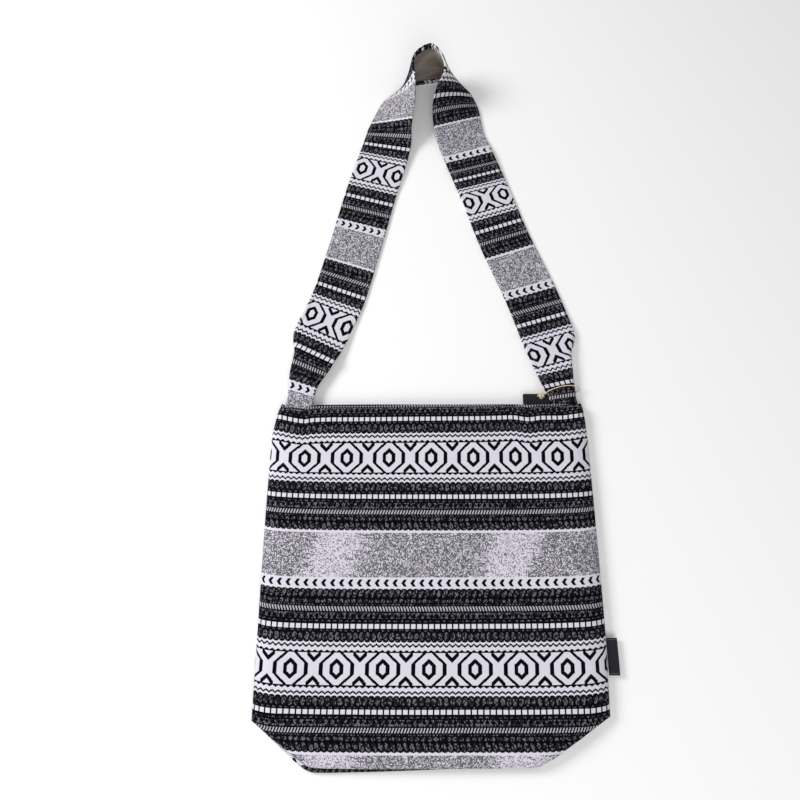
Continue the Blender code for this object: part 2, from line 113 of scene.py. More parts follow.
RIGHT_LEG = [
    (26, 520, STRAP_FLAT_Z + 2.5, -75) + FLAT,
    (45, 466, STRAP_FLAT_Z, -73) + FLAT,
    (68, 393.5, STRAP_FLAT_Z, -71) + FLAT,
    (94, 324, STRAP_FLAT_Z, -73) + FLAT,
    (105.8, 287, STRAP_FLAT_Z + 0.8, -73) + FLAT,
    (113, 260, 6.2, -73, 58.0, 12.0),
    (119, 240, 9.9, -74, 46.5, 4.5),
    (131.4, 209, 10.0, -77, 33.0, 3.6),
    (138, 191, 10.5, -82, 27.0, 3.5),
    (141.5, 168.5, 10.5, -86, 26.5, 3.5),
]
ARCH = [
    (-18.5, 543, 9, -79, 557),
    (-18.0, 563, 24, -73, 578),
    (-14.0, 589, 41, -56, 617),
    (-14.7, 614, 55, -36, 636),
    (-17.0, 636, 60.5, -25, 645),
    (-8.5, 653, 61, -10, 648.5),
    (7.4, 662, 61, 9, 651.5),
    (18.0, 653, 60.5, 26, 654),
    (24.5, 636, 60, 43, 649),
    (25.0, 622, 55, 60, 636),
    (17.0, 612, 43, 68, 620),
    (11.0, 598, 29, 73, 603),
    (10.5, 580, 17, 75, 585),
    (16.0, 551, 8, 79, 563),
]
# Where the woven repeat falls on the strap, as (length along its middle, place in the weave)
STRAP_WEAVE = [
    (0, -53.4), (35.6, -17.8), (131.7, 67.4), (264.8, 201.7), (350.2, 286.9), (427, 369.1), (470, 421.2),
    (679.2, 640.7), (746.8, 725.9), (885.6, 860.2), (971.7, 945.4), (1060, 1033.5),
]
# Where the strap's inner edge falls across the weave
STRAP_WEAVE_START = -5.5
# How much the woven rows slant across the strap round its arch, as (length, rise for each mm across)
STRAP_SLANT = [(410, 0.0), (460, 0.32), (500, 0.2), (540, 0.1), (580, 0.3), (620, 0.36), (660, 0.12),
               (690, 0.0)]

# Label, string and knot
LABEL_Y = (-103.5, -67.0)
LABEL_OUT = 11.0
LABEL_CLOTH = 0.4
LABEL_SLIT = 0.25
STRING_DIAMETER = 1.2
STRING_ROUTE = [
    (133.2, 199.0, 9.9), (135.0, 200.8, 11.4), (138.5, 202.8, 12.6), (145, 205.3, 12.9), (152, 207.4, 12.8),
    (161, 208.6, 12.6), (167, 208.2, 12.2), (171.6, 207.2, 10.6), (173.6, 206.2, 7.6), (173.0, 205.2, 4.0),
    (170.2, 204.2, 1.4), (162, 203.0, 0.75), (150, 201.8, 0.7), (139, 200.6, 0.75), (132.6, 199.0, 2.2),
    (129.6, 197.2, 4.6), (129.0, 196.7, 6.4), (128.9, 196.7, 7.5),
]
KNOT_CENTRE = Vector((128.3, 198.0, 9.75))
# The knot's turns, as (spin, half length, height), and its two short ends from its middle
KNOT_TURNS = ((0.25, 3.7, -0.5), (1.25, 3.0, 0.25), (2.45, 3.4, 0.8), (0.8, 2.0, 1.1))
KNOT_ENDS = (((-2.0, 0.6, 0.6), (-3.2, 1.4, 0.7), (-4.0, 2.6, 0.3)),
             ((2.0, -0.6, 0.6), (3.2, -1.2, 0.4), (3.9, -2.4, -0.4)))

# Sewing: pitch, length and thickness of a stitch, its way in from the mouth, and its rows on the strap
STITCH = (3.0, 2.2, 0.42)
MOUTH_STITCHES_BELOW = 3.2
STRAP_STITCHES_ACROSS = (4.0, 60.0)

# The woven pattern, in millimetres on the cloth
WEAVE_REPEAT = 219.5
MOTIF_ROW = 67.4
MOTIF_PITCH = 46.35
MODULE = 6.18
THREAD = 0.515
# Where rows of the weave show on the bag, as (distance from the mouth in the picture, place in the weave)
BAG_WEAVE = [(-40, -39), (0, 1), (22.5, 25.1), (67.4, 67.4), (110.2, 109.7), (147.3, 146.9), (202.4, 201.9),
             (246, 244.6), (287, 286.9), (326.3, 329.2), (343, 346.6), (360.5, 366.4), (400, 412)]
WEAVE_SKEW = 0.0242
PICTURE_LEAN = 0.364
PICTURE_LEVEL = 15.0
# The back's weave runs ahead of the front's, by this much at its bottom
BACK_WEAVE_SHIFT = 38.0
BACK_SHIFT_FROM_Y = 150.0
BACK_SHIFT_OVER = 300.0

BLACK_YARN = (0.0016, 0.0014, 0.0034)
WHITE_YARN = (0.72, 0.69, 0.78)
TAUPE = (0.265, 0.222, 0.192)
CREAM = (0.70, 0.56, 0.35)
PALE_THREAD = (0.42, 0.41, 0.45)

# Lamps as (name, place, size, power), and the camera, in metres
LAMPS = (("key", (-1.6, 0.7, 1.3), 0.9, 32.0),
         ("fill", (0.1, -1.4, 1.5), 1.2, 16.0))
LAMP_AIM = (0.0, 0.15, 0.0)
CAMERA_PLACE = (-0.0325, -0.1084, 0.8350)
CAMERA_AIM = (-0.0325, 0.1955, 0.0)
CAMERA_LENS = 34.7


# Shader maths as Python expressions

def operation(kind, turned=False):
    """An operator of Value, with its two sides swapped when turned."""
    def work_out(self, *other):
        return self.finish.maths(kind, *((*other, self) if turned else (self, *other)))
    return work_out


class Value:
    """A number socket in a material's nodes."""

    def __init__(self, finish, socket):
        self.finish = finish
        self.socket = socket

    __add__ = __radd__ = operation("ADD")
    __sub__ = operation("SUBTRACT")
    __rsub__ = operation("SUBTRACT", True)
    __mul__ = __rmul__ = operation("MULTIPLY")
    __truediv__ = operation("DIVIDE")
    __mod__ = operation("FLOORED_MODULO")
    __lt__ = operation("LESS_THAN")
    __gt__ = operation("GREATER_THAN")
    __abs__ = operation("ABSOLUTE")


class Finish:
    """A material built from nodes."""

    def __init__(self, name, roughness, **constants):
        self.material = bpy.data.materials.new(name)
        self.material.use_nodes = True
        self.tree = self.material.node_tree
        self.shader = self.tree.nodes["Principled BSDF"]
        self.shader.inputs["Roughness"].default_value = roughness
        for socket, value in constants.items():
            self.shader.inputs[socket.replace("_", " ")].default_value = value

    def node(self, kind, settings=None, **sockets):
        made = self.tree.nodes.new(kind)
        for key, value in (settings or {}).items():
            setattr(made, key, value)
        for key, value in sockets.items():
            index = int(key[1:]) if key[0] == "s" and key[1:].isdigit() else key.replace("_", " ")
            self.feed(made.inputs[index], value)
        return made

    def feed(self, socket, value):
        if isinstance(value, Value):
            self.tree.links.new(value.socket, socket)
        elif isinstance(value, bpy.types.NodeSocket):
            self.tree.links.new(value, socket)
        else:
            socket.default_value = value

    def maths(self, operation, *values):
        sockets = {f"s{index}": value for index, value in enumerate(values)}
        return Value(self, self.node("ShaderNodeMath", {"operation": operation}, **sockets).outputs[0])

    def near(self, place, period):
        """Distance to the nearest multiple of the period."""
        return self.maths("PINGPONG", place, period / 2.0)

    def stepped(self, place, size):
        return self.maths("SNAP", place, size)

    def at_most(self, value, limit):
        return self.maths("MINIMUM", value, limit)

    def at_least(self, value, limit):
        return self.maths("MAXIMUM", value, limit)

    def oval(self, across, down, half_width, half_height):
        wide = across / half_width
        tall = down / half_height
        return (wide * wide + tall * tall) < 1.0

    def arch(self, across, half):
        share = self.at_most(across / half, 1.0)
        return self.maths("SQRT", 1.0 - share * share)

    def rise(self, value, low, high):
        made = self.node("ShaderNodeMapRange", {"interpolation_type": "SMOOTHSTEP"}, Value=value,
                         **{"From_Min": low, "From_Max": high})
        return Value(self, made.outputs[0])

    def vector(self, x, y, z):
        return self.node("ShaderNodeCombineXYZ", None, X=x, Y=y, Z=z).outputs[0]

    def grains(self, x, y, seed):
        place = self.vector(x, y, seed)
        made = self.node("ShaderNodeTexWhiteNoise", {"noise_dimensions": "3D"}, Vector=place)
        return Value(self, made.outputs["Value"])

    def clouds(self, x, y, detail, seed):
        made = self.node("ShaderNodeTexNoise", None, Vector=self.vector(x, y, seed), Scale=1.0, Detail=detail)
        return Value(self, made.outputs[0])

    def cloth_place(self):
        place = self.node("ShaderNodeUVMap", {"uv_map": "cloth"}).outputs[0]
        parts = self.node("ShaderNodeSeparateXYZ", None, Vector=place).outputs
        return Value(self, parts[0]) * 1000.0, Value(self, parts[1]) * 1000.0

    def object_place(self):
        place = self.node("ShaderNodeTexCoord").outputs["Object"]
        parts = self.node("ShaderNodeSeparateXYZ", None, Vector=place).outputs
        return [Value(self, part) * 1000.0 for part in parts]

    def mix(self, factor, first, second):
        made = self.node("ShaderNodeMix", {"data_type": "RGBA"}, s0=factor)
        for socket, value in ((made.inputs[6], first), (made.inputs[7], second)):
            self.feed(socket, (*value, 1.0) if isinstance(value, tuple) else value)
        return made.outputs[2]

    def colour(self, socket):
        self.feed(self.shader.inputs["Base Color"], socket)

    def relief(self, height, depth, strength):
        bump = self.node("ShaderNodeBump", None, Height=height, Distance=depth * MM, Strength=strength)
        self.feed(self.shader.inputs["Normal"], bump.outputs[0])


# The jacquard weave

def motif_black(finish, u, reach):
    """Black lines of the hexagon band, where reach is the distance from the band's middle."""
    across = finish.near(u - 1.5, MOTIF_PITCH)
    slant = finish.at_least(reach - 5.5, 0.0)
    outline = abs(across - 15.7 + slant * 1.06) < 1.9
    ring = across < 6.9 - finish.at_least(reach - 4.5, 0.0) * 1.095
    heart = across < 3.1 - finish.at_least(reach - 3.0, 0.0) * 1.05
    between = MOTIF_PITCH / 2.0 - across
    roof = between < finish.at_most((reach - 6.5) * 0.98, 7.0)
    window = between < (reach - 11.6) * 0.95
    return finish.at_most(outline + ring * (1.0 - heart) + roof * (1.0 - window), 1.0)


def chevron_black(finish, u, row):
    """Small arrowheads of the white band, where row is the place from the motif's middle."""
    down = abs(row + 85.2)
    along_row = (u - 8.9) % (MODULE * 1.5)
    return (along_row > down * 0.75) * (along_row < down * 0.6 + 3.7) * (down < 3.5)


def ikat_light(finish, u, row):
    """Salt-and-pepper ground with pale flame-edged patches."""
    down = row - 82.2
    streak = finish.clouds(u / 24.0, row / 1.5, 2.0, 3.0)
    patch = finish.near(u - 91.0 + (down - 15.0) * 0.35, 187.2)
    dark_share = finish.rise(patch + (streak - 0.5) * 60.0, 16.0, 34.0) * 0.34 + 0.27
    wide = finish.grains(finish.stepped(u, THREAD * 2), finish.stepped(row, THREAD * 2), 1.0)
    fine = finish.grains(finish.stepped(u, THREAD), finish.stepped(row, THREAD), 2.0)
    dark = (wide * 0.7 + fine * 0.3) < dark_share * 0.90 + 0.07
    return 0.96 - dark * 0.77


def woven_light(finish, u, v):
    """Lightness of the pattern, from 0 on the black yarn to 1 on the white."""
    row = ((v - MOTIF_ROW + 91.0) % WEAVE_REPEAT) - 91.0
    reach = abs(row)
    cell = finish.near(u - 0.5, MODULE)
    half = MODULE / 2.0
    gap = half - cell
    mottle = finish.grains(finish.stepped(u, THREAD * 2), finish.stepped(row, THREAD * 3), 5.0)
    grey = (mottle > 0.66) * 0.18 + mottle * 0.03 + 0.006

    def band(low, high):
        return (reach > low) * (reach < high)

    motif = (reach < 16.4) * (1.0 - motif_black(finish, u, reach))
    tooth = 17.3 + cell * (2.1 / half)
    zigzag = abs(reach - 22.3 - cell * (2.6 / half)) < 1.05
    lobes = 28.6 - finish.arch(cell, half) * 2.0
    border = (reach > tooth) * (reach < lobes) * (1.0 - zigzag)
    squares = band(40.5, 45.1) * (gap < 2.15)
    ovals = finish.oval(cell, reach - 32.6, 2.4, 4.1)
    small_dots = finish.oval(gap, reach - 38.6, 1.7, 1.0)
    hollow_dots = finish.oval(gap, reach - 47.9, 1.9, 0.9)
    stars = band(50.0, 55.9) * ((gap / 2.2 + abs(reach - 52.4) / 2.6) > 1.0)
    ticks = band(57.5, 62.0) * (finish.near(u + reach * 0.35, MODULE / 2) < 0.72)
    dashes = band(63.2, 64.5) * (finish.near(u + reach, MODULE / 2.0) < 0.8)
    flat_dots = finish.oval(finish.near(u - 3.1, MODULE), reach - 67.4, 2.5, 1.9)
    lean = finish.near(u + 1.3 - (reach - 75.0) * 0.35, MODULE)
    leaning = finish.oval(lean, reach - 74.8, 2.2, 3.9)
    edge = 77.8 + finish.arch(finish.near(u + 0.4, MODULE), half) * 2.0
    greys = ovals + small_dots + hollow_dots + stars + dashes + flat_dots + leaning
    past = reach > edge
    white_line = past * (row > 0.0) * (row < 82.2)
    arrows = past * (row < 0.0) * (1.0 - chevron_black(finish, u, row))
    ikat = (row > 82.2) * ikat_light(finish, u, row)
    return motif + border + squares + greys * grey + ticks * 0.66 + white_line + arrows + ikat


def jacquard(name):
    finish = Finish(name, 0.92, Specular_IOR_Level=0.03)
    u, v = finish.cloth_place()
    thread_u = finish.stepped(u, THREAD)
    thread_v = finish.stepped(v, THREAD)
    light = woven_light(finish, thread_u, thread_v)
    uneven = finish.grains(thread_u, thread_v, 9.0)
    slubs = finish.clouds(u / 40.0, v / 0.8, 1.0, 4.0)
    shown = light * (0.93 + uneven * 0.10) * (0.95 + slubs * 0.12) + uneven * 0.002
    finish.colour(finish.mix(finish.at_most(shown, 1.0), BLACK_YARN, WHITE_YARN))
    ribs = finish.near(v, THREAD) + finish.near(u + finish.stepped(v, THREAD * 2), THREAD * 2)
    finish.relief(ribs + light * 0.5, 0.35, 0.6)
    return finish.material


def twill(name, colour, folds):
    """Plain diagonal weave, its colour darkened and lightened in broad soft bands as painted fold shade and
    painted highlights.
    """
    finish = Finish(name, 0.88, Sheen_Weight=0.06, Sheen_Roughness=0.5, Specular_IOR_Level=0.15)
    u, v = finish.cloth_place()
    line = finish.near(u + v, 0.8)
    # painted fold shade: broad soft bands of painted shade and painted highlight where the cloth would fold
    shade = finish.rise(finish.clouds(u / 10.0 + v / 70.0, v / 55.0, 2.0, 1.0), 0.30, 0.70)
    fleck = finish.grains(finish.stepped(u, 0.4), finish.stepped(v, 0.4), 2.0)
    # dark and pale are shaded and lit copies of the colour, mixed by the painted fold shade
    dark = tuple(part * 0.62 for part in colour)
    pale = tuple(part * 1.40 for part in colour)
    finish.colour(finish.mix(line * 0.3 + shade * 0.7 + fleck * 0.1, dark, pale))
    creases = finish.clouds(u / 12.0, v / 50.0, 2.0, 6.0) * folds
    finish.relief(line * 0.1 + creases * 3.0, 1.6, 0.8)
    return finish.material


def satin_label():
    finish = Finish("label_satin", 0.6, Specular_IOR_Level=0.15)
    u, v = finish.cloth_place()
    edge = finish.near(v, LABEL_Y[1] - LABEL_Y[0])
    border = (edge > 1.4) * (edge < 2.1) * (finish.near(u, 1.2) < 0.4)
    fine = finish.grains(finish.stepped(u, 0.3), finish.stepped(v, 0.6), 1.0)
    ground = finish.mix(fine, (0.0075, 0.0075, 0.0105), (0.014, 0.014, 0.019))
    finish.colour(finish.mix(border * 0.5, ground, (0.20, 0.20, 0.22)))
    finish.relief(finish.near(u, 0.3) + finish.near(v, 0.6) * 0.5, 0.2, 0.6)
    return finish.material


def tag_card():
    finish = Finish("tag_card", 0.65, Specular_IOR_Level=0.15)
    x, y = finish.object_place()[:2]
    fibre = finish.clouds(x / 0.9, y / 0.9, 4.0, 1.0)
    finish.colour(finish.mix(fibre, (0.006, 0.006, 0.009), (0.013, 0.013, 0.018)))
    finish.relief(fibre, 0.05, 0.5)
    return finish.material


def twine():
    finish = Finish("twine", 0.9, Sheen_Weight=0.2)
    x, y, z = finish.object_place()
    fibre = finish.clouds(x / 0.35 + y / 0.35, z / 0.35, 3.0, 1.0)
    shade = finish.clouds(x / 3.0, y / 3.0, 2.0, 2.0)
    colour = finish.mix(shade, CREAM, (0.80, 0.70, 0.50))
    finish.colour(finish.mix(fibre * 0.5, colour, (0.42, 0.30, 0.16)))
    finish.relief(fibre, 0.12, 0.6)
    return finish.material


def sewing_thread(name, colour):
    finish = Finish(name, 0.7, Sheen_Weight=0.2)
    x, y, z = finish.object_place()
    twist = finish.near(x + y + z, 0.35)
    finish.colour(finish.mix(twist * 3.0, tuple(part * 0.7 for part in colour), colour))
    finish.relief(twist, 0.08, 0.5)
    return finish.material


# Shapes of cloth

def along(table, at):
    """Straight-line value of a table of (place, value) pairs, in either order of place."""
    rows = sorted(table)
    return float(np.interp(at, [row[0] for row in rows], [row[1] for row in rows]))


def smooth_table(table):
    """The same table with two more points beside each inner one, which rounds its corners."""
    rows = sorted(table)
    rounded = [rows[0]]
    for before, here, after in zip(rows, rows[1:], rows[2:]):
        rounded.append(tuple(0.8 * h + 0.2 * b for h, b in zip(here, before)))
        middle = tuple(0.8 * h + 0.1 * b + 0.1 * a for h, b, a in zip(here, before, after))
        rounded.append((here[0], middle[1]))
        rounded.append(tuple(0.8 * h + 0.2 * a for h, a in zip(here, after)))
    rounded.append(rows[-1])
    return rounded


def ease(value):
    value = min(max(value, 0.0), 1.0)
    return value * value * (3.0 - 2.0 * value)


def dome(depth, width):
    reach = min(max(depth / width, 0.0), 1.0)
    return math.sqrt(1.0 - (1.0 - reach) ** 2)


def dress(item, material, slot, *nodes):
    """Give a finished piece its material and body, and hide the CAD solids that it stands for. The slot
    argument is not used.
    """
    item.data.materials.clear()
    item.data.materials.append(material)
    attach(item, "root")
    if nodes:
        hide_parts(*nodes)
    return item


def mesh_object(name, work):
    mesh = bpy.data.meshes.new(name)
    work.to_mesh(mesh)
    work.free()
    item = bpy.data.objects.new(name, mesh)
    bpy.context.scene.collection.objects.link(item)
    return item


def applied(item):
    """The item with its modifiers made part of its mesh."""
    depsgraph = bpy.context.evaluated_depsgraph_get()
    mesh = bpy.data.meshes.new_from_object(item.evaluated_get(depsgraph))
    mesh.name = item.name
    item.modifiers.clear()
    item.data = mesh
    mesh.shade_smooth()
    return item


def grid_faces(work, layer, grid, places, flip=False):
    for low, high, low_place, high_place in zip(grid, grid[1:], places, places[1:]):
        for left in range(len(low) - 1):
            corners = [low[left], low[left + 1], high[left + 1], high[left]]
            spots = [low_place[left], low_place[left + 1], high_place[left + 1], high_place[left]]
            if flip:
                corners.reverse()
                spots.reverse()
            face = work.faces.new(corners)
            for loop, spot in zip(face.loops, spots):
                loop[layer].uv = (spot[0] * MM, spot[1] * MM)


def sheet_object(name, rows, places, thickness, offset):
    """Cloth through rows of points, with its place in the weave on each."""
    work = bmesh.new()
    layer = work.loops.layers.uv.new("cloth")
    grid = [[work.verts.new(Vector(point) * MM) for point in row] for row in rows]
    grid_faces(work, layer, grid, places)
    bmesh.ops.remove_doubles(work, verts=work.verts, dist=0.00001)
    item = mesh_object(name, work)
    solid = item.modifiers.new("thickness", "SOLIDIFY")
    solid.thickness = thickness * MM
    solid.offset = offset
    solid.use_even_offset = True
    return applied(item)


class Panel:
    """One face of the bag: a sheet from the mouth to the bottom fold and back up as the base flap."""

    def __init__(self, front, inset):
        self.front = front
        self.inset = inset
        self.flap_lift = CLOTH + GAP if inset else 0.0
        self.left = smooth_table(LEFT_SIDE)
        self.right = smooth_table(RIGHT_SIDE)
        self.fold = smooth_table(FRONT_FOLD)
        self.mouth = smooth_table(FRONT_MOUTH_DROP if front else BACK_MOUTH_DROP)
        if inset:
            self.turn = LINING_FRONT_TURN if front else LINING_BACK_TURN
        else:
            self.turn = FRONT_TURN if front else BACK_TURN

    def x_at(self, share, y):
        left = along(self.left, y) + self.inset
        right = along(self.right, y) - self.inset
        return left + (right - left) * share

    def fold_y(self, x):
        shift = 0.0 if self.front else along(BACK_FOLD_SHIFT, x)
        return along(self.fold, x) - shift + self.inset * 2.0

    def mouth_y(self, x):
        return MOUTH_Y - along(self.mouth, x)

    def top_z(self, y):
        rise = ease((MOUTH_Y - y) / (MOUTH_Y - BODY_TOP_FROM_Y))
        return MOUTH_TOP + (BODY_TOP - MOUTH_TOP) * rise

    def side_drop(self, y):
        return MOUTH_SIDE_DROP + (SIDE_DROP - MOUTH_SIDE_DROP) * ease((180.0 - y) / 50.0)

    def turn_radius(self, share, y):
        side_gap = min(share, 1.0 - share) * (self.x_at(1.0, y) - self.x_at(0.0, y))
        small, full = self.turn
        return small + (full - small) * ease(side_gap / TURN_GROWS_OVER)

    def upright_z(self, share, y):
        corner = ease((along(BASE_SEAM, self.x_at(share, y)) + SEAM_DIVE - y) / SEAM_DIVE)
        lift = self.turn_radius(share, y) * corner
        if self.front:
            return SEAM_Z + SEAM_HALF_GAP + lift + self.flap_lift * corner
        return SEAM_Z - SEAM_HALF_GAP - lift - self.flap_lift * corner

    def ripple(self, x, y, side_gap, fold_gap):
        """Soft unevenness of the cloth, with small puckers along the side seams."""
        inner = min(side_gap, fold_gap, max(MOUTH_Y - y, 0.0) + 6.0)
        broad = 0.45 * math.sin(x / 31.0 + y / 57.0) * math.sin(y / 43.0 - x / 71.0)
        beside_seam = math.exp(-((side_gap - 9.0) / 7.0) ** 2)
        beside_fold = math.exp(-((fold_gap - 8.0) / 6.0) ** 2)
        seam = 0.35 * math.sin(y / 3.3 + 1.5 * math.sin(y / 17.0)) * beside_seam
        bottom = 0.30 * math.sin(x / 3.9 + 1.7 * math.sin(x / 23.0)) * beside_fold
        return (broad * ease(inner / 30.0) + seam + bottom) * ease(inner / 6.0)

    def face_point(self, share, y):
        x = self.x_at(share, y)
        side_gap = min(x - self.x_at(0.0, y), self.x_at(1.0, y) - x)
        fold_gap = max(y - self.fold_y(x), 0.0)
        upright = self.upright_z(share, y)
        if self.front:
            drop = self.side_drop(y)
            rise = dome(side_gap, drop) * dome(fold_gap, SIDE_DROP)
            top = self.top_z(y) - self.inset + self.ripple(x, y, side_gap, fold_gap)
            return (x, y, upright + (top - upright) * rise)
        rise = dome(side_gap, BACK_SIDE_RISE) * dome(fold_gap, self.turn_radius(share, y))
        return (x, y, upright + (self.inset - upright) * rise)

    def hem_rows(self, shares):
        """The turned-in mouth edge, from its inner end to the start of the face."""
        inner = Panel(self.front, MOUTH_HEM)
        rows = [[] for _ in HEM_ROWS + HEM_TURN]
        for share in shares:
            mouth = self.mouth_y(self.x_at(share, MOUTH_Y))
            for row, below in zip(rows, HEM_ROWS):
                row.append(inner.face_point(share, mouth - below))
            outside = Vector(self.face_point(share, mouth - MOUTH_HEM / 2))
            inside = Vector(inner.face_point(share, mouth - MOUTH_HEM / 2))
            middle = (outside + inside) / 2
            for row, angle in zip(rows[len(HEM_ROWS):], HEM_TURN):
                turn = math.radians(angle)
                ahead = Vector((0.0, MOUTH_HEM / 2 * math.sin(turn), 0.0))
                row.append(tuple(middle + (outside - inside) / 2 * math.cos(turn) + ahead))
        return rows

    def face_rows(self, shares):
        """Rows from the mouth down, bending near the bottom to follow the fold."""
        rows = []
        for part in np.linspace(0.0, 1.0, 22)[:-1]:
            row = []
            for share in shares:
                mouth = self.mouth_y(self.x_at(share, MOUTH_Y)) - MOUTH_HEM / 2
                start = LINING_TOP_Y if self.inset else mouth
                row.append(self.face_point(share, start + (LEVEL_FROM_Y - start) * part))
            rows.append(row)
        for y in np.linspace(LEVEL_FROM_Y, BEND_FROM_Y, 40)[:-1]:
            rows.append([self.face_point(share, float(y)) for share in shares])
        open_steps = np.linspace(0.0, 0.7, 14)
        close_steps = 1.0 - 0.3 * np.linspace(1.0, 0.0, 18)[1:-1] ** 1.8
        for step in [*open_steps, *close_steps]:
            rows.append([self.face_point(share, self.toward_fold(share, float(step))) for share in shares])
        return rows

    def toward_fold(self, share, step):
        """Height of a point that is this share of the way down to the bottom fold."""
        y = BEND_FROM_Y
        for _ in range(6):
            y = BEND_FROM_Y + (self.fold_y(self.x_at(share, y)) - BEND_FROM_Y) * step
        return y

    def flap_rows(self, shares):
        """The bottom turn and the base flap, which runs back up to the seam in the middle of the base."""
        turns = (0.0, 0.2, 0.4, 0.6, 0.8, 1.0)
        runs = (0.12, 0.3, 0.5, 0.75, 1.0)
        rows = [[] for _ in turns + runs]
        for share in shares:
            y = self.toward_fold(share, 1.0)
            x = self.x_at(share, y)
            radius = self.turn_radius(share, y)
            reach = max(along(BASE_SEAM, x) - y, 0.0)
            upright = self.upright_z(share, y)
            down = -radius if self.front else radius
            full = math.asin(min(min(reach, radius) / radius, 1.0))
            for row, turn in zip(rows, turns):
                angle = full * turn
                row.append((x, y + radius * (1.0 - math.cos(angle)), upright + down * math.sin(angle)))
            start = radius * (1.0 - math.cos(full))
            flap_z = upright + down * math.sin(full)
            for row, run in zip(rows[len(turns):], runs):
                row.append((x, y + start + max(reach - start, 0.0) * run, flap_z))
        return rows


def weave_row(x, y, z):
    """Place in the weave of a point on the bag's face, down from the mouth."""
    shown = MOUTH_Y - y - PICTURE_LEAN * (z - PICTURE_LEVEL)
    sag = along(ROW_SAG, x) * ease((y - ROW_SAG_FROM_Y) / ROW_SAG_OVER)
    return along(BAG_WEAVE, shown - sag) + SIDE_ROW_DROP * (abs(x) / SIDE_ROW_X) ** 4


def carry_on(values, points, first, last, axis):
    """Fill in the values past both ends of a known stretch, by the length of cloth between points."""
    def cloth_between(here, there):
        step = points[here] - points[there]
        return math.hypot(step[axis], step.z)

    for here in range(first - 1, -1, -1):
        values[here] = values[here + 1] - cloth_between(here, here + 1)
    for here in range(last + 1, len(points)):
        values[here] = values[here - 1] + cloth_between(here, here - 1)


def bag_places(rows, front):
    """Place in the weave of each point: read off the face, and carried on round both folds."""
    rows = [[Vector(point) for point in row] for row in rows]
    middle = len(rows[0]) // 2
    face = [index for index, row in enumerate(rows)
            if -150.0 < row[middle].y < 170.0 and (row[middle].z > 8.0) == front]
    down = []
    for points in zip(*rows):
        values = [0.0] * len(points)
        for index in range(face[0], face[-1] + 1):
            values[index] = weave_row(*points[index])
            if not front:
                ahead = ease((BACK_SHIFT_FROM_Y - points[index].y) / BACK_SHIFT_OVER)
                values[index] += BACK_WEAVE_SHIFT * ahead
        carry_on(values, points, face[0], face[-1], 1)
        down.append(values)
    places = []
    for row, row_down in zip(rows, zip(*down)):
        across = [0.0] * len(row)
        across[middle] = row[middle].x
        carry_on(across, row, middle, middle, 0)
        places.append([(u + WEAVE_SKEW * (v - MOTIF_ROW), v) for u, v in zip(across, row_down)])
    return places


def column_shares():
    """Places of the columns across a panel, close together near both sides."""
    width = 357.0
    gaps = (0.0, 0.12, 0.5, 1.2, 2.2, 3.6, 5.4, 7.6, 10.2, 13.2, 16.6, 20.4, 24.6, 29.4, 35.0)
    near = [gap / width for gap in gaps]
    inner = list(np.linspace(near[-1], 1.0 - near[-1], 62)[1:-1])
    return [float(share) for share in near + inner + [1.0 - share for share in reversed(near)]]


def make_panel(name, front, material, node):
    panel = Panel(front, 0.0)
    shares = column_shares()
    hem, face, flap = panel.hem_rows(shares), panel.face_rows(shares), panel.flap_rows(shares)
    rows = hem + face + flap
    face_places = bag_places(face + flap, front)
    hem_places = carried_back(hem, face[0], face_places[0])
    item = sheet_object(name, rows, hem_places + face_places, CLOTH, 1.0 if front else -1.0)
    return dress(item, material, "jacquard", node)


def carried_back(hem, first_row, first_places):
    """Weave places of the turned-in hem, carried on from the first row of the face."""
    places = []
    after_row, after_places = first_row, first_places
    for row in reversed(hem):
        here = []
        for point, after, (u, v) in zip(row, after_row, after_places):
            step = Vector(point) - Vector(after)
            here.append((u, v - math.hypot(step.y, step.z)))
        places.insert(0, here)
        after_row, after_places = row, here
    return places


def make_lining(name, front, material, node):
    panel = Panel(front, LINING_INSET)
    shares = column_shares()
    rows = panel.face_rows(shares) + panel.flap_rows(shares)
    places = [[(x, y) for x, y, z in row] for row in rows]
    item = sheet_object(name, rows, places, LINING, 1.0 if front else -1.0)
    return dress(item, material, "lining_twill", node)


# The strap

def leg_station(row):
    x, y, z, heading, curl_start, radius = row
    turn = math.radians(heading)
    return (Vector((x, y, z)), Vector((-math.sin(turn), math.cos(turn), 0.0)), curl_start, radius)


def arch_station(row):
    x, y, z, floor_x, floor_y = row
    bank = min((z - STRAP_EDGE_Z) / STRAP_WIDTH, 1.0)
    edge = STRAP_EDGE_Z + (STRAP_FLAT_Z - STRAP_EDGE_Z) * math.sqrt(1.0 - bank * bank)
    across = Vector((floor_x - x, floor_y - y, edge - z)) / STRAP_WIDTH
    return (Vector((x, y, z)), across) + FLAT


def spline(values, before, here, share):
    last = len(values) - 1
    a = values[max(before, 0)]
    b = values[here]
    c = values[min(here + 1, last)]
    d = values[min(here + 2, last)]
    square = share * share
    cube = square * share
    return 0.5 * (2.0 * b + (c - a) * share + (2.0 * a - 5.0 * b + 4.0 * c - d) * square
                  + (3.0 * b - a - 3.0 * c + d) * cube)


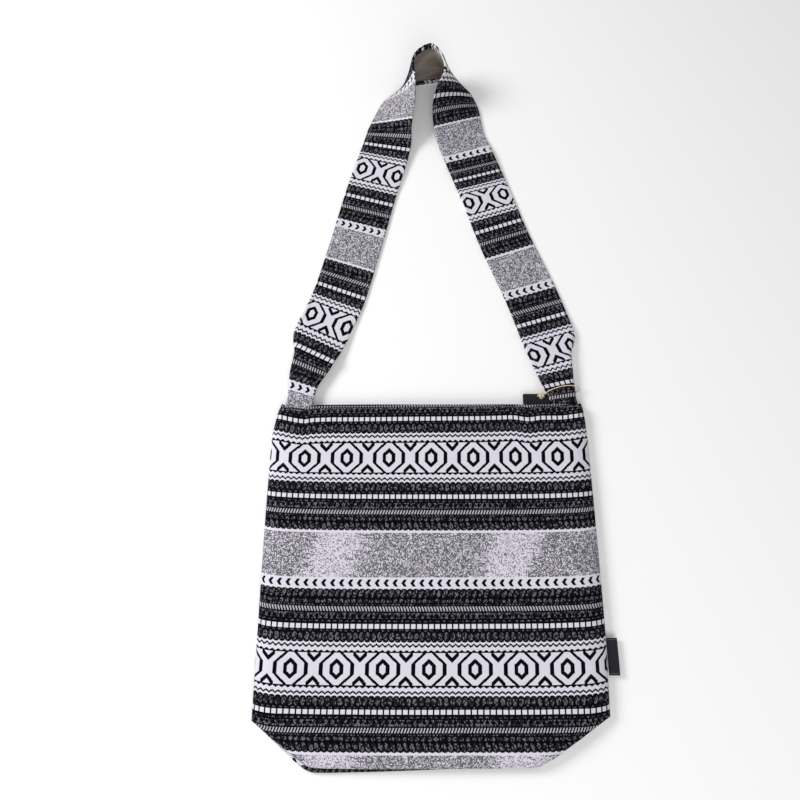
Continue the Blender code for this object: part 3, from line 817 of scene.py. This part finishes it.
def strap_frames():
    """Frames along the strap: inner edge, direction across, curl start and radius, and face normal."""
    stations = [leg_station(row) for row in LEFT_LEG]
    stations += [arch_station(row) for row in ARCH]
    stations += [leg_station(row) for row in RIGHT_LEG]
    edges, crosses, starts, radii = (list(column) for column in zip(*stations))
    places = []
    for here in range(len(stations) - 1):
        middle_step = edges[here + 1] - edges[here] + (crosses[here + 1] - crosses[here]) * STRAP_WIDTH / 2
        parts = max(round(middle_step.length / STRAP_STEP), 3)
        places += [(here, part / parts) for part in range(parts)]
    places.append((len(stations) - 2, 1.0))
    frames = []
    for here, share in places:
        edge = spline(edges, here - 1, here, share)
        cross = spline(crosses, here - 1, here, share)
        start = starts[here] + (starts[here + 1] - starts[here]) * share
        radius = radii[here] + (radii[here + 1] - radii[here]) * share
        frames.append([edge, cross, start, radius])
    middles = [edge + cross * STRAP_WIDTH / 2 for edge, cross, _, _ in frames]
    for index, station in enumerate(frames):
        heading = middles[min(index + 1, len(middles) - 1)] - middles[max(index - 1, 0)]
        station.append(heading.cross(station[1]).normalized())
    for station in frames:
        lowest = min(section_point(station, *spot)[2] for spot in strap_section(station, -0.5))
        station[0].z += max(FLOOR_GAP - lowest, 0.0)
    return frames


def section_point(station, across, depth):
    """Point of the strap at a place across it and a depth below its outer cloth's middle."""
    edge, cross, start, radius, normal = station
    angle = min(max((across - start) / radius, 0.0), math.pi)
    flat = min(across, start)
    straight = max(across - start - radius * math.pi, 0.0)
    along_cross = flat + radius * math.sin(angle) - straight
    below = radius * (1.0 - math.cos(angle))
    along_cross -= depth * math.sin(angle)
    below += depth * math.cos(angle)
    return tuple(edge + cross * along_cross - normal * below)


def middle_columns(station):
    """Places across the strap between its two hems, with nine of them round the curl."""
    start, radius = station[2], station[3]
    curl = [min(start + radius * math.pi * step / 8, LAST_COLUMN - 2.4 + 0.30 * step) for step in range(9)]
    flat = [HEM_WIDTH + 1.0 + (curl[0] - HEM_WIDTH - 1.0) * part / 14 for part in range(14)]
    after = [curl[-1] + (STRAP_WIDTH - HEM_WIDTH - curl[-1]) * part / 4 for part in (1, 2, 3)]
    return flat + curl + after


def strap_section(station, side):
    """One side of the outer cloth's section, both edges turned under, as (across, depth) pairs."""
    fold = CLOTH / 2 + HEM_DEPTH / 2
    surface = side * CLOTH
    hem = [(HEM_WIDTH, HEM_DEPTH - surface), (LINING_EDGE + 1.5, HEM_DEPTH - surface),
           (LINING_EDGE, HEM_DEPTH - surface)]
    for angle in range(0, 181, 20):
        turn = math.radians(angle)
        reach = HEM_DEPTH / 2 - surface
        hem.append((fold - reach * math.sin(turn), HEM_DEPTH / 2 + reach * math.cos(turn)))
    hem += [(LINING_EDGE, surface), (LINING_EDGE + 1.5, surface), (HEM_WIDTH, surface)]
    middle = [(across, surface) for across in middle_columns(station)]
    return hem + middle + [(STRAP_WIDTH - across, depth) for across, depth in reversed(hem)]


def layered_object(name, outside, inside, places):
    """Closed sheet between two grids of points, which keeps the strap's layers nested in its folds."""
    work = bmesh.new()
    layer = work.loops.layers.uv.new("cloth")
    top = [[work.verts.new(Vector(point) * MM) for point in row] for row in outside]
    under = [[work.verts.new(Vector(point) * MM) for point in row] for row in inside]
    grid_faces(work, layer, top, places)
    grid_faces(work, layer, under, places, True)
    for end in (0, -1):
        grid_faces(work, layer, [top[end], under[end]], [places[end], places[end]])
        grid_faces(work, layer, [[row[end] for row in top], [row[end] for row in under]],
                   [[row[end] for row in places], [row[end] for row in places]])
    bmesh.ops.recalc_face_normals(work, faces=work.faces)
    item = mesh_object(name, work)
    item.data.shade_smooth()
    item.data.set_sharp_from_angle(angle=math.radians(60))
    return item


def lengths_along(frames):
    middles = [station[0] + station[1] * STRAP_WIDTH / 2 for station in frames]
    lengths = [0.0]
    for before, here in zip(middles, middles[1:]):
        lengths.append(lengths[-1] + (here - before).length)
    return lengths


def strap_places(frames, grid):
    """Weave places on the strap: u grows towards its outer edge and v runs along it."""
    places = []
    for station, length, row in zip(frames, lengths_along(frames), grid):
        across = [0.0]
        for before, here in zip(row, row[1:]):
            across.append(across[-1] + (Vector(here) - Vector(before)).length)
        start = (across[-1] - STRAP_WIDTH) / 2
        slant = along(STRAP_SLANT, length)
        v = along(STRAP_WEAVE, length)
        places.append([(reach - start + STRAP_WEAVE_START, v + slant * (reach - across[-1] / 2))
                       for reach in across])
    return places


def make_strap(frames, material):
    grids = [[[section_point(station, *spot) for spot in strap_section(station, side)]
              for station in frames] for side in (-0.5, 0.5)]
    item = layered_object("strap_cloth", *grids, strap_places(frames, grids[0]))
    return dress(item, material, "strap_jacquard", "strap_outer")


def make_strap_lining(frames, material):
    grids = []
    for depth in (CLOTH / 2 + GAP, CLOTH / 2 + GAP + LINING):
        grid = []
        for station in frames:
            places = [LINING_EDGE, HEM_WIDTH] + middle_columns(station)
            places += [STRAP_WIDTH - HEM_WIDTH, STRAP_WIDTH - LINING_EDGE]
            grid.append([section_point(station, across, depth) for across in places])
        grids.append(grid)
    columns = range(len(grids[0][0]))
    spots = [[(column * 2.2, length) for column in columns] for length in lengths_along(frames)]
    item = layered_object("strap_backing", *grids, spots)
    return dress(item, material, "strap_twill", "strap_lining")


# Small pieces

def make_label(material):
    """Woven label folded double, its fold outwards, held in the right side seam."""
    start = max(along(RIGHT_SIDE, y) for y in LABEL_Y) + GAP
    half = (LABEL_CLOTH + LABEL_SLIT) / 2
    profile = [(start + (LABEL_OUT - half) * part / 6, SEAM_Z + half) for part in range(7)]
    for angle in (60, 30, 0, -30, -60):
        turn = math.radians(angle)
        profile.append((start + LABEL_OUT - half + half * math.cos(turn), SEAM_Z + half * math.sin(turn)))
    profile += [(x, 2 * SEAM_Z - z) for x, z in reversed(profile[:7])]
    rows, places = [], []
    for y in np.linspace(LABEL_Y[0], LABEL_Y[1], 25):
        lift = 0.22 * math.sin((y - LABEL_Y[0]) / 9.0)
        rows.append([(x, float(y), z + lift * (x - start) / LABEL_OUT) for x, z in profile])
        places.append([(x, float(y) - LABEL_Y[0]) for x, z in profile])
    item = sheet_object("seam_label", rows, places, LABEL_CLOTH, 0.0)
    return dress(item, material, "label_satin", "side_label")


def smooth_line(spots):
    """Points about half a millimetre apart on a smooth line through the spots."""
    route = [Vector(spot) for spot in spots]
    points = []
    for here in range(len(route) - 1):
        parts = max(round((route[here + 1] - route[here]).length / 0.5), 1)
        points += [spline(route, here - 1, here, part / parts) for part in range(parts)]
    return points + [route[-1]]


def twisted_tube(work, points, radius, pitch):
    """Twine along a line of points, its two plies showing as a spiral of lobes."""
    sides = 14
    up = Vector((0.0, 0.0, 1.0))
    rings = []
    length = 0.0
    side = None
    for index, point in enumerate(points):
        ahead = (points[min(index + 1, len(points) - 1)] - points[max(index - 1, 0)]).normalized()
        if index:
            length += (point - points[index - 1]).length
        if side is None:
            side = ahead.cross(up if abs(ahead.z) < 0.9 else Vector((1.0, 0.0, 0.0))).normalized()
        side = (side - ahead * side.dot(ahead)).normalized()
        lift = ahead.cross(side)
        ring = []
        for step in range(sides):
            angle = 2.0 * math.pi * step / sides
            lobe = 0.80 + 0.20 * abs(math.cos(angle - 2.0 * math.pi * length / pitch))
            outward = side * math.cos(angle) + lift * math.sin(angle)
            ring.append(work.verts.new((point + outward * radius * lobe) * MM))
        rings.append(ring)
    for low, high in zip(rings, rings[1:]):
        for step in range(sides):
            after = (step + 1) % sides
            work.faces.new((low[step], low[after], high[after], high[step]))
    work.faces.new(list(reversed(rings[0])))
    work.faces.new(rings[-1])


def make_string(material):
    points = smooth_line(STRING_ROUTE)
    work = bmesh.new()
    twisted_tube(work, points, STRING_DIAMETER / 2, 2.4)
    item = mesh_object("tag_cord", work)
    item.data.shade_smooth()
    dress(item, material, "twine", "tag_string")
    length = sum((b - a).length for a, b in zip(points, points[1:]))
    return item, points, length


def make_knot(material):
    """Small round knot of crossing turns with two short ends."""
    work = bmesh.new()
    for spin, reach, height in KNOT_TURNS:
        points = []
        for step in range(37):
            angle = 2.0 * math.pi * step / 36
            x, y = reach * math.cos(angle), 0.9 * math.sin(angle)
            across = x * math.cos(spin) - y * math.sin(spin)
            ahead = (x * math.sin(spin) + y * math.cos(spin)) * 0.75
            rise = height + 0.5 * math.sin(2.0 * angle)
            points.append(KNOT_CENTRE + Vector((across, ahead, rise)))
        twisted_tube(work, points, STRING_DIAMETER * 0.62, 2.4)
    for spots in KNOT_ENDS:
        route = [Vector(spot) for spot in spots]
        points = [spline(route, here - 1, here, part / 4) for here in (0, 1) for part in range(4)]
        points = [KNOT_CENTRE + point for point in points + [route[-1]]]
        twisted_tube(work, points, STRING_DIAMETER * 0.42, 1.8)
    item = mesh_object("string_knot", work)
    item.data.shade_smooth()
    return dress(item, material, "twine", "tag_knot")


# Stitches

def stitch_tree():
    """Geometry nodes that lay one stitch at every pitch along the edges of a line."""
    tree = bpy.data.node_groups.new("stitch_row", "GeometryNodeTree")
    face = tree.interface
    face.new_socket("Line", in_out="INPUT", socket_type="NodeSocketGeometry")
    for name in ("Pitch", "Length", "Thickness"):
        face.new_socket(name, in_out="INPUT", socket_type="NodeSocketFloat")
    face.new_socket("Thread", in_out="INPUT", socket_type="NodeSocketMaterial")
    face.new_socket("Stitches", in_out="OUTPUT", socket_type="NodeSocketGeometry")

    def add(kind, **settings):
        made = tree.nodes.new(kind)
        for key, value in settings.items():
            setattr(made, key, value)
        return made

    start, end = add("NodeGroupInput"), add("NodeGroupOutput")
    line = add("GeometryNodeMeshToCurve")
    spaced = add("GeometryNodeResampleCurve", mode="LENGTH")
    stitch = add("GeometryNodeMeshUVSphere")
    stitch.inputs["Segments"].default_value = 8
    stitch.inputs["Rings"].default_value = 6
    stitch.inputs["Radius"].default_value = 0.5
    size = add("ShaderNodeCombineXYZ")
    shaped = add("GeometryNodeTransform")
    tangent = add("GeometryNodeInputTangent")
    facing = add("FunctionNodeAlignRotationToVector", axis="X")
    placed = add("GeometryNodeInstanceOnPoints")
    real = add("GeometryNodeRealizeInstances")
    coloured = add("GeometryNodeSetMaterial")
    for giver, given, taker, taken in (
            (start, "Line", line, "Mesh"),
            (line, "Curve", spaced, "Curve"),
            (start, "Pitch", spaced, "Length"),
            (start, "Length", size, "X"),
            (start, "Thickness", size, "Y"),
            (start, "Thickness", size, "Z"),
            (stitch, "Mesh", shaped, "Geometry"),
            (size, "Vector", shaped, "Scale"),
            (tangent, "Tangent", facing, "Vector"),
            (spaced, "Curve", placed, "Points"),
            (shaped, "Geometry", placed, "Instance"),
            (facing, "Rotation", placed, "Rotation"),
            (placed, "Instances", real, "Geometry"),
            (real, "Geometry", coloured, "Geometry"),
            (start, "Thread", coloured, "Material"),
            (coloured, "Geometry", end, "Stitches")):
        tree.links.new(giver.outputs[given], taker.inputs[taken])
    return tree


def stitch_row(tree, name, lines, material, slot):
    """A piece of stitches along one or more lines of points."""
    pitch, length, thickness = STITCH
    work = bmesh.new()
    for line in lines:
        spots = [work.verts.new(Vector(point) * MM) for point in line]
        for before, here in zip(spots, spots[1:]):
            work.edges.new((before, here))
    item = mesh_object(name, work)
    sewing = item.modifiers.new("stitches", "NODES")
    sewing.node_group = tree
    values = {"Pitch": pitch * MM, "Length": length * MM, "Thickness": thickness * MM, "Thread": material}
    for socket in tree.interface.items_tree:
        if socket.name in values:
            sewing[socket.identifier] = values[socket.name]
    applied(item)
    return dress(item, material, slot)


def mouth_line(panel, lift):
    line = []
    for share in np.linspace(0.012, 0.988, 140):
        x = panel.x_at(float(share), MOUTH_Y)
        x, y, z = panel.face_point(float(share), panel.mouth_y(x) - MOUTH_STITCHES_BELOW)
        line.append((x, y, z + lift))
    return line


def strap_line(frames, across, depth):
    return [section_point(station, across, depth) for station in frames]


# Stage, light and camera

def make_floor():
    bpy.ops.mesh.primitive_plane_add(size=12.0, location=(0.0, 0.0, -0.0002))
    floor = bpy.context.object
    floor.name = "floor"
    finish = Finish("floor_white", 0.9, Specular_IOR_Level=0.1)
    finish.shader.inputs["Base Color"].default_value = (0.86, 0.86, 0.86, 1.0)
    finish.shader.inputs["Emission Strength"].default_value = 0.10
    rays = finish.node("ShaderNodeLightPath").outputs
    seen = Value(finish, rays["Is Camera Ray"]) + Value(finish, rays["Is Glossy Ray"])
    seen = finish.at_most(seen + Value(finish, rays["Is Transmission Ray"]), 1.0)
    finish.feed(finish.shader.inputs["Emission Color"], finish.mix(seen, (0.0, 0.0, 0.0), (1.0, 1.0, 1.0)))
    floor.data.materials.append(finish.material)


def aim(item, place, target):
    item.location = place
    ahead = Vector(target) - Vector(place)
    item.rotation_euler = ahead.to_track_quat("-Z", "Y").to_euler()
    bpy.context.scene.collection.objects.link(item)


def make_lights():
    world = bpy.data.worlds.new("studio")
    bpy.context.scene.world = world
    world.use_nodes = True
    tree = world.node_tree
    ground = tree.nodes["Background"]
    ground.inputs["Color"].default_value = (1.0, 1.0, 1.0, 1.0)
    ground.inputs["Strength"].default_value = 0.40
    white = tree.nodes.new("ShaderNodeBackground")
    rays = tree.nodes.new("ShaderNodeLightPath").outputs
    seen = rays["Is Camera Ray"]
    for kind in ("Is Glossy Ray", "Is Transmission Ray"):
        either = tree.nodes.new("ShaderNodeMath")
        either.operation = "MAXIMUM"
        tree.links.new(seen, either.inputs[0])
        tree.links.new(rays[kind], either.inputs[1])
        seen = either.outputs[0]
    chosen = tree.nodes.new("ShaderNodeMixShader")
    tree.links.new(seen, chosen.inputs[0])
    tree.links.new(ground.outputs[0], chosen.inputs[1])
    tree.links.new(white.outputs[0], chosen.inputs[2])
    tree.links.new(chosen.outputs[0], tree.nodes["World Output"].inputs["Surface"])
    white.inputs["Color"].default_value = (1.0, 1.0, 1.0, 1.0)
    for name, place, size, power in LAMPS:
        data = bpy.data.lights.new(name, "AREA")
        data.shape = "DISK"
        data.size = size
        data.energy = power
        aim(bpy.data.objects.new(name, data), place, LAMP_AIM)


def make_camera():
    data = bpy.data.cameras.new("camera")
    data.lens = CAMERA_LENS
    data.sensor_width = 36.0
    camera = bpy.data.objects.new("camera", data)
    aim(camera, CAMERA_PLACE, CAMERA_AIM)
    bpy.context.scene.camera = camera


def build():
    make_camera()
    make_floor()
    make_lights()
    bag_cloth = jacquard("jacquard")
    lining = twill("lining_twill", TAUPE, 0.3)
    front = make_panel("front_cloth", True, bag_cloth, "front_panel")
    back = make_panel("back_cloth", False, bag_cloth, "back_panel")
    front_lining = make_lining("front_lining", True, lining, "lining_front")
    back_lining = make_lining("back_lining", False, lining, "lining_back")
    frames = strap_frames()
    strap = make_strap(frames, jacquard("strap_jacquard"))
    backing = make_strap_lining(frames, twill("strap_twill", TAUPE, 1.0))
    label = make_label(satin_label())
    string_finish = twine()
    knot = make_knot(string_finish)
    string, points, length = make_string(string_finish)
    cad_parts["swing_tag"].data.materials[0] = tag_card()
    tree = stitch_tree()
    pale = sewing_thread("pale_thread", PALE_THREAD)
    mouth = [mouth_line(Panel(True, 0.0), 0.1), mouth_line(Panel(False, 0.0), 0.25)]
    mouth_stitches = stitch_row(tree, "mouth_stitches", mouth, pale, "jacquard")
    edges = [strap_line(frames, across, -0.55) for across in STRAP_STITCHES_ACROSS]
    strap_stitches = stitch_row(tree, "strap_stitches", edges, pale, "strap_jacquard")


build()
bpy.context.scene.view_settings.view_transform = "Standard"
